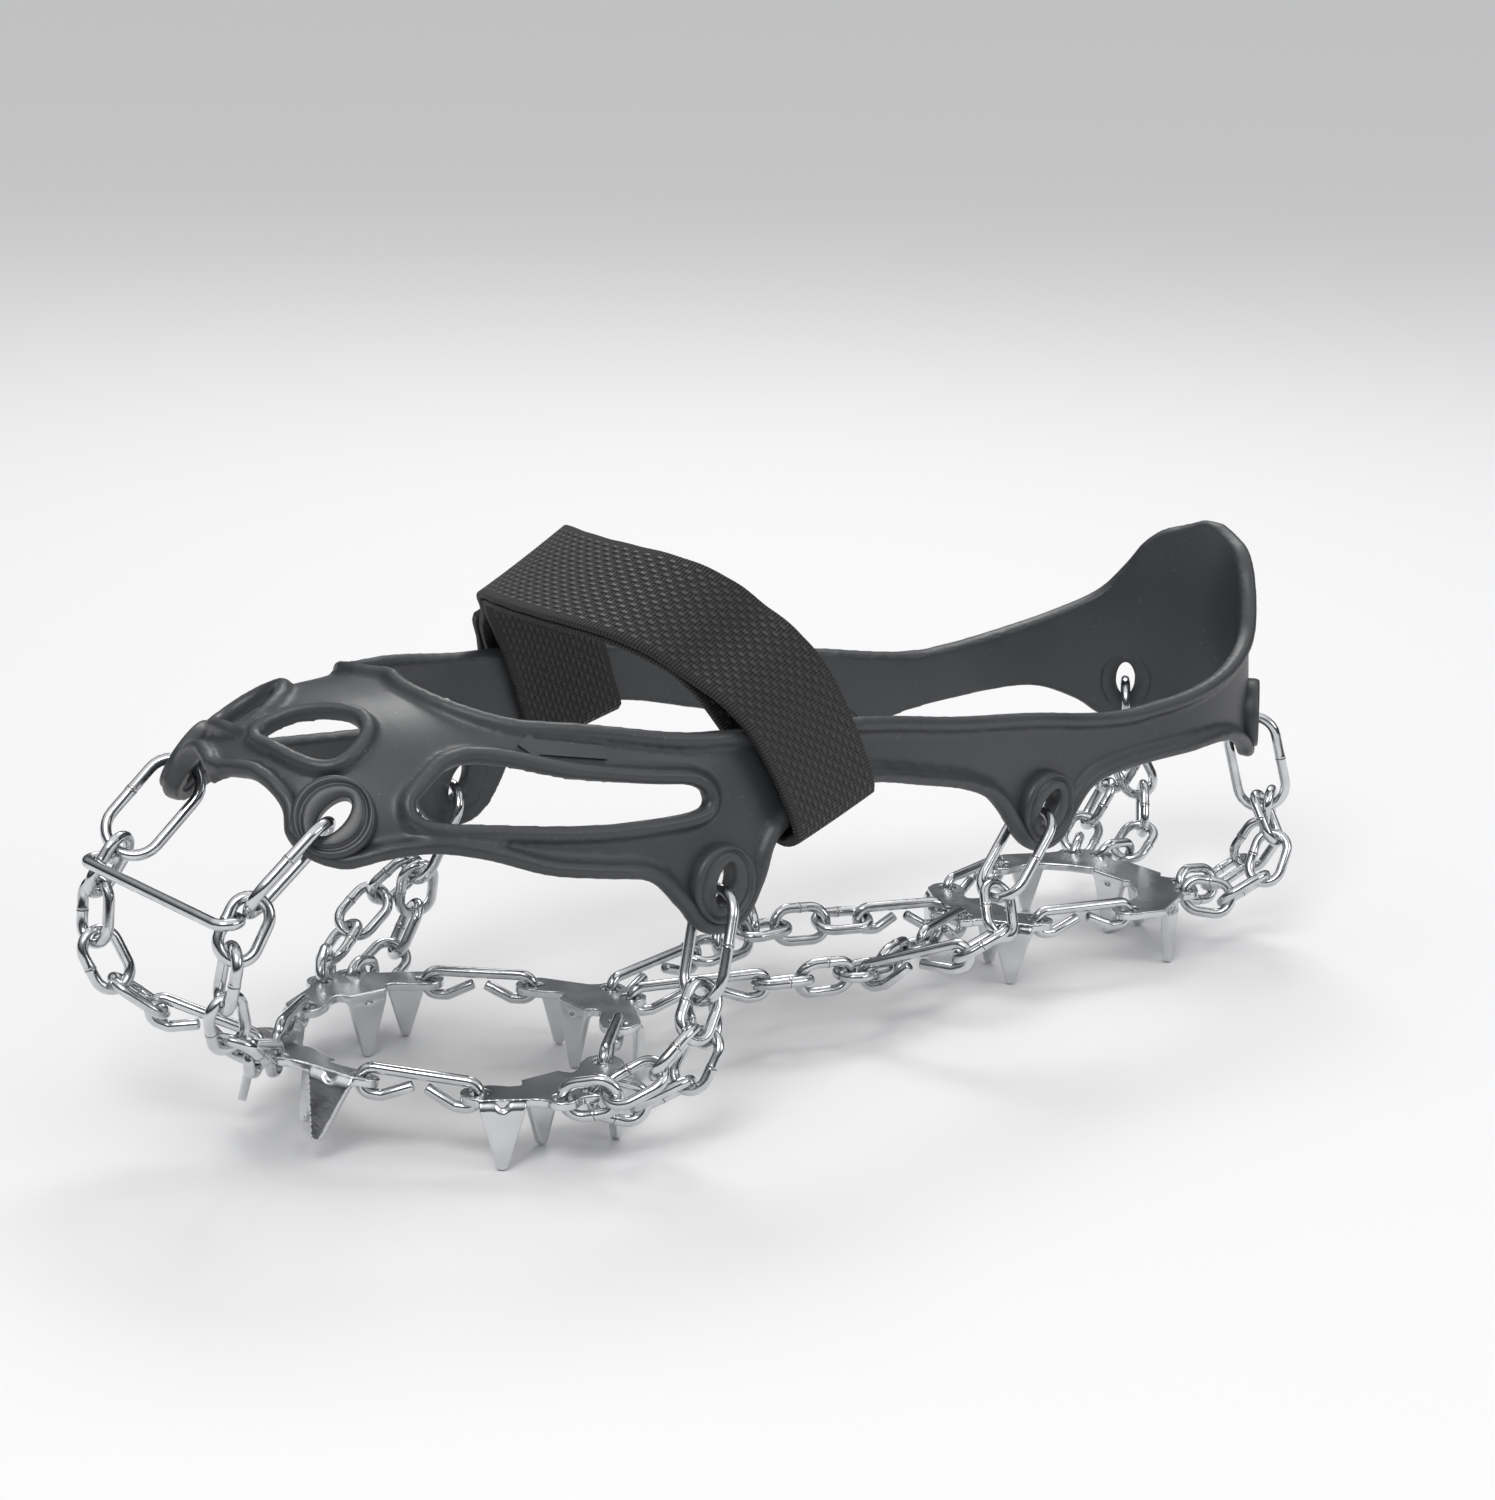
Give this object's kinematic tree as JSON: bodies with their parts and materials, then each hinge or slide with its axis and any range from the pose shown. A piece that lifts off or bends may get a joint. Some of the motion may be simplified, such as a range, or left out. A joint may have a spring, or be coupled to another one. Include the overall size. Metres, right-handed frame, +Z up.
{
  "type": "shoe ice cleats",
  "caption": "Ice cleat in the shape it takes on a boot: stretched rubber harness, welded chains, hooked wire connectors, bent steel spike plates and an instep strap with a ring",
  "frame": {"origin": "in the sole plane (the plates' upper faces), on the middle line, under the rear of the ball of the foot", "axes": "+Y from toe to heel, +X to the wearer's left, +Z up away from the ground"},
  "size_m": [0.1228, 0.3069, 0.1182],
  "materials": {
    "rubber": "satin, moulded",
    "wire": "bright welded wire",
    "plate": "pressed, bright",
    "webbing": "woven",
    "nickel": "nickel plated"
  },
  "bodies": {
    "harness": {"harness": "rubber", "strap": "webbing", "strap_ring": "nickel", "connector_ball_left": "wire", "connector_ball_right": "wire", "connector_heel_left": "wire", "connector_heel_right": "wire", "junction_link_left": "wire", "junction_link_right": "wire", "long_chain_front_left": "wire", "long_chain_front_right": "wire", "long_chain_rear_left": "wire", "long_chain_rear_right": "wire", "plate_ball": "plate", "plate_heel": "plate", "plate_toe": "plate", "toe_chain_lower_left": "wire", "toe_chain_lower_right": "wire", "toe_chain_upper_left": "wire", "toe_chain_upper_right": "wire"},
    "eye_link_front_left": {"eye_link_front_left": "wire"},
    "eye_link_front_right": {"eye_link_front_right": "wire"},
    "eye_link_mid_left": {"eye_link_mid_left": "wire"},
    "eye_link_mid_right": {"eye_link_mid_right": "wire"},
    "eye_link_arch_left": {"eye_link_arch_left": "wire"},
    "eye_link_arch_right": {"eye_link_arch_right": "wire"},
    "eye_link_rear_left": {"eye_link_rear_left": "wire"},
    "eye_link_rear_right": {"eye_link_rear_right": "wire"},
    "connector_toe_left": {"connector_toe_left": "wire"},
    "connector_toe_right": {"connector_toe_right": "wire"},
    "mid_strand_rear_left": {"mid_strand_rear_left": "wire"},
    "mid_strand_rear_right": {"mid_strand_rear_right": "wire"},
    "mid_strand_front_left": {"mid_strand_front_left": "wire"},
    "mid_strand_front_right": {"mid_strand_front_right": "wire"},
    "branch_chain_left": {"branch_chain_left": "wire"},
    "branch_chain_right": {"branch_chain_right": "wire"},
    "connector_branch_left": {"connector_branch_left": "wire"},
    "connector_branch_right": {"connector_branch_right": "wire"},
    "rear_strand_inner_left": {"rear_strand_inner_left": "wire"},
    "rear_strand_inner_right": {"rear_strand_inner_right": "wire"},
    "rear_strand_outer_left": {"rear_strand_outer_left": "wire"},
    "rear_strand_outer_right": {"rear_strand_outer_right": "wire"},
    "connector_front_left": {"connector_front_left": "wire"},
    "connector_front_right": {"connector_front_right": "wire"},
    "connector_back_left": {"connector_back_left": "wire"},
    "connector_back_right": {"connector_back_right": "wire"},
    "connector_rear_left": {"connector_rear_left": "wire"},
    "connector_rear_right": {"connector_rear_right": "wire"},
    "plate_side_left": {"plate_side_left": "plate"},
    "plate_side_right": {"plate_side_right": "plate"},
    "plate_rear": {"plate_rear": "plate"},
    "toe_bar": {"toe_bar": "wire"},
    "strap_tab": {"strap_tab": "webbing"}
  },
  "joints": [
    {"name": "eye_link_front_left_play", "type": "hinge", "parent": "harness", "child": "eye_link_front_left", "pos_m": [0.02656, -0.12674, 0.06068], "axis": [-0.6956, -0.4381, 0.5695], "range_deg": [-3.2, 3.2]},
    {"name": "eye_link_front_right_play", "type": "hinge", "parent": "harness", "child": "eye_link_front_right", "pos_m": [-0.02656, -0.12674, 0.06068], "axis": [0.6956, -0.4381, 0.5695], "range_deg": [-3.2, 3.2]},
    {"name": "eye_link_mid_left_play", "type": "hinge", "parent": "harness", "child": "eye_link_mid_left", "pos_m": [0.04792, -0.04651, 0.03829], "axis": [0.0211, -0.9301, 0.3668], "range_deg": [-3.2, 2.4]},
    {"name": "eye_link_mid_right_play", "type": "hinge", "parent": "harness", "child": "eye_link_mid_right", "pos_m": [-0.04792, -0.04651, 0.03829], "axis": [-0.0211, -0.9301, 0.3668], "range_deg": [-2.4, 3.2]},
    {"name": "eye_link_arch_left_play", "type": "hinge", "parent": "harness", "child": "eye_link_arch_left", "pos_m": [0.03705, 0.05555, 0.0356], "axis": [0.0558, -0.7367, 0.6739], "range_deg": [-3.2, 2.4]},
    {"name": "eye_link_arch_right_play", "type": "hinge", "parent": "harness", "child": "eye_link_arch_right", "pos_m": [-0.03705, 0.05555, 0.0356], "axis": [-0.0558, -0.7367, 0.6739], "range_deg": [-2.4, 3.2]},
    {"name": "eye_link_rear_left_play", "type": "hinge", "parent": "harness", "child": "eye_link_rear_left", "pos_m": [0.02097, 0.14054, 0.0413], "axis": [0.6895, -0.7223, -0.0527], "range_deg": [-1.6, 0.19]},
    {"name": "eye_link_rear_right_play", "type": "hinge", "parent": "harness", "child": "eye_link_rear_right", "pos_m": [-0.02097, 0.14054, 0.0413], "axis": [-0.6895, -0.7223, -0.0527], "range_deg": [-0.19, 1.6]},
    {"name": "connector_toe_left_play", "type": "hinge", "parent": "harness", "child": "connector_toe_left", "pos_m": [0.0037, -0.12516, 0.00503], "axis": [0, 0, 1], "range_deg": [-2.4, 1.28]},
    {"name": "connector_toe_right_play", "type": "hinge", "parent": "harness", "child": "connector_toe_right", "pos_m": [-0.0037, -0.12516, 0.00503], "axis": [0, 0, 1], "range_deg": [-1.28, 2.4]},
    {"name": "mid_strand_rear_left_play", "type": "hinge", "parent": "harness", "child": "mid_strand_rear_left", "pos_m": [0.05099, -0.05411, 0.01884], "axis": [0.9767, 0.0976, 0.1913], "range_deg": [-2.4, 0]},
    {"name": "mid_strand_rear_right_play", "type": "hinge", "parent": "harness", "child": "mid_strand_rear_right", "pos_m": [-0.05099, -0.05411, 0.01884], "axis": [-0.9767, 0.0976, 0.1913], "range_deg": [0, 2.4]},
    {"name": "mid_strand_front_left_play", "type": "hinge", "parent": "harness", "child": "mid_strand_front_left", "pos_m": [0.05386, -0.05383, 0.0194], "axis": [0.9767, 0.0976, 0.1913], "range_deg": [-0.96, 2]},
    {"name": "mid_strand_front_right_play", "type": "hinge", "parent": "harness", "child": "mid_strand_front_right", "pos_m": [-0.05386, -0.05383, 0.0194], "axis": [-0.9767, 0.0976, 0.1913], "range_deg": [-2, 0.96]},
    {"name": "branch_chain_left_play", "type": "hinge", "parent": "harness", "child": "branch_chain_left", "pos_m": [0.03896, 0.0412, 0.01975], "axis": [0.9944, 0.1013, 0.0284], "range_deg": [-2.4, 0.96]},
    {"name": "branch_chain_right_play", "type": "hinge", "parent": "harness", "child": "branch_chain_right", "pos_m": [-0.03896, 0.0412, 0.01975], "axis": [-0.9944, 0.1013, 0.0284], "range_deg": [-0.96, 2.4]},
    {"name": "connector_branch_left_play", "type": "hinge", "parent": "harness", "child": "connector_branch_left", "pos_m": [0.01938, 0.01926, -0.00197], "axis": [0, 0, 1], "range_deg": [-0.4, 2.4]},
    {"name": "connector_branch_right_play", "type": "hinge", "parent": "harness", "child": "connector_branch_right", "pos_m": [-0.01938, 0.01926, -0.00197], "axis": [0, 0, 1], "range_deg": [-2.4, 0.4]},
    {"name": "rear_strand_inner_left_play", "type": "hinge", "parent": "harness", "child": "rear_strand_inner_left", "pos_m": [0.02494, 0.14581, 0.02099], "axis": [0.7101, 0.6599, 0.2456], "range_deg": [-2, 0.64]},
    {"name": "rear_strand_inner_right_play", "type": "hinge", "parent": "harness", "child": "rear_strand_inner_right", "pos_m": [-0.02494, 0.14581, 0.02099], "axis": [-0.7101, 0.6599, 0.2456], "range_deg": [-0.51, 1.6]},
    {"name": "rear_strand_outer_left_play", "type": "hinge", "parent": "harness", "child": "rear_strand_outer_left", "pos_m": [0.02308, 0.14408, 0.02035], "axis": [0.7101, 0.6599, 0.2456], "range_deg": [-0.96, 0.4]},
    {"name": "rear_strand_outer_right_play", "type": "hinge", "parent": "harness", "child": "rear_strand_outer_right", "pos_m": [-0.02308, 0.14408, 0.02035], "axis": [-0.7101, 0.6599, 0.2456], "range_deg": [-0.4, 0.96]},
    {"name": "connector_front_left_play", "type": "hinge", "parent": "harness", "child": "connector_front_left", "pos_m": [0.0157, -0.11334, 0.00164], "axis": [0, 0, 1], "range_deg": [-1.02, 1.02]},
    {"name": "connector_front_right_play", "type": "hinge", "parent": "harness", "child": "connector_front_right", "pos_m": [-0.0157, -0.11334, 0.00164], "axis": [0, 0, 1], "range_deg": [-1.28, 1.28]},
    {"name": "connector_back_left_play", "type": "hinge", "parent": "harness", "child": "connector_back_left", "pos_m": [0.0157, -0.04715, -0.0009], "axis": [0, 0, 1], "range_deg": [-1.6, 1.6]},
    {"name": "connector_back_right_play", "type": "hinge", "parent": "harness", "child": "connector_back_right", "pos_m": [-0.0157, -0.04715, -0.0009], "axis": [0, 0, 1], "range_deg": [-1.28, 1.28]},
    {"name": "connector_rear_left_play", "type": "hinge", "parent": "harness", "child": "connector_rear_left", "pos_m": [0.0157, 0.07665, -0.0009], "axis": [0, 0, 1], "range_deg": [-1.28, 1.28]},
    {"name": "connector_rear_right_play", "type": "hinge", "parent": "harness", "child": "connector_rear_right", "pos_m": [-0.0157, 0.07665, -0.0009], "axis": [0, 0, 1], "range_deg": [-1.28, 1.28]},
    {"name": "plate_side_left_play", "type": "hinge", "parent": "harness", "child": "plate_side_left", "pos_m": [0.0453, -0.08, -0.0009], "axis": [0, 1, 0], "range_deg": [-1.02, 1.6]},
    {"name": "plate_side_right_play", "type": "hinge", "parent": "harness", "child": "plate_side_right", "pos_m": [-0.0453, -0.08, -0.0009], "axis": [0, -1, 0], "range_deg": [-1.02, 1.6]},
    {"name": "plate_rear_play", "type": "hinge", "parent": "harness", "child": "plate_rear", "pos_m": [0, 0.125, -0.0009], "axis": [-1, 0, 0], "range_deg": [-0.77, 0.77]},
    {"name": "toe_bar_play", "type": "hinge", "parent": "harness", "child": "toe_bar", "pos_m": [0.02426, -0.14915, 0.04433], "axis": [1, 0, 0], "range_deg": [-2.4, 2.4]},
    {"name": "strap_tab_peel", "type": "hinge", "parent": "harness", "child": "strap_tab", "pos_m": [-0.05373, -0.01582, 0.0502], "axis": [-0.112, -0.9512, -0.2876], "range_deg": [0, 60]}
  ]
}
